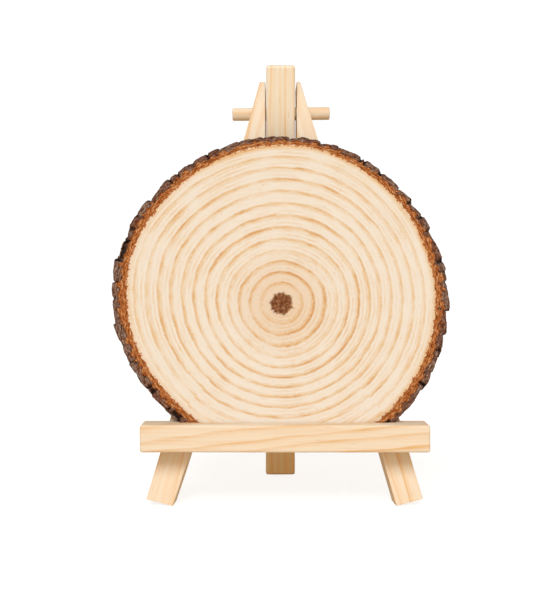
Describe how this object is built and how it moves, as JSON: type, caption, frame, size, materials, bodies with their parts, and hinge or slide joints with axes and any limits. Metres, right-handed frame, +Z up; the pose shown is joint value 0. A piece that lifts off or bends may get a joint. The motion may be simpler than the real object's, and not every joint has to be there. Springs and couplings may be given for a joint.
{
  "type": "wood slice",
  "caption": "Round bark-edged wood slice standing in the seat of a folding pine mini easel with splayed front legs and a hinged rear leg.",
  "frame": {"origin": "bottom centre of the whole object's box, on the surface the easel stands on", "axes": "+Z up, -Y towards the viewer of the slice's front face, +X to that viewer's right"},
  "size_m": [0.1064, 0.0684, 0.142],
  "materials": {
    "log_slice": "fine-sanded end grain, rough bark on the rim",
    "left_leg_pine": "planed unfinished pine",
    "right_leg_pine": "planed unfinished pine",
    "rear_leg_pine": "planed unfinished pine",
    "ledge_pine": "planed unfinished pine",
    "dowel_wood": "turned unfinished wood",
    "brad_steel": "bright steel wire"
  },
  "bodies": {
    "front_frame": {"wood_slice": "log_slice", "left_leg": "left_leg_pine", "right_leg": "right_leg_pine", "ledge": "ledge_pine", "hinge_dowel": "dowel_wood", "brad_1": "brad_steel", "brad_2": "brad_steel", "brad_3": "brad_steel", "brad_4": "brad_steel"},
    "back_stay": {"rear_leg": "rear_leg_pine"}
  },
  "joints": [
    {"name": "rear_leg_fold", "type": "hinge", "parent": "front_frame", "child": "back_stay", "pos_m": [0.00028, 0.00225, 0.12563], "axis": [1, 0, 0], "range_deg": [-23.5, 20]}
  ]
}
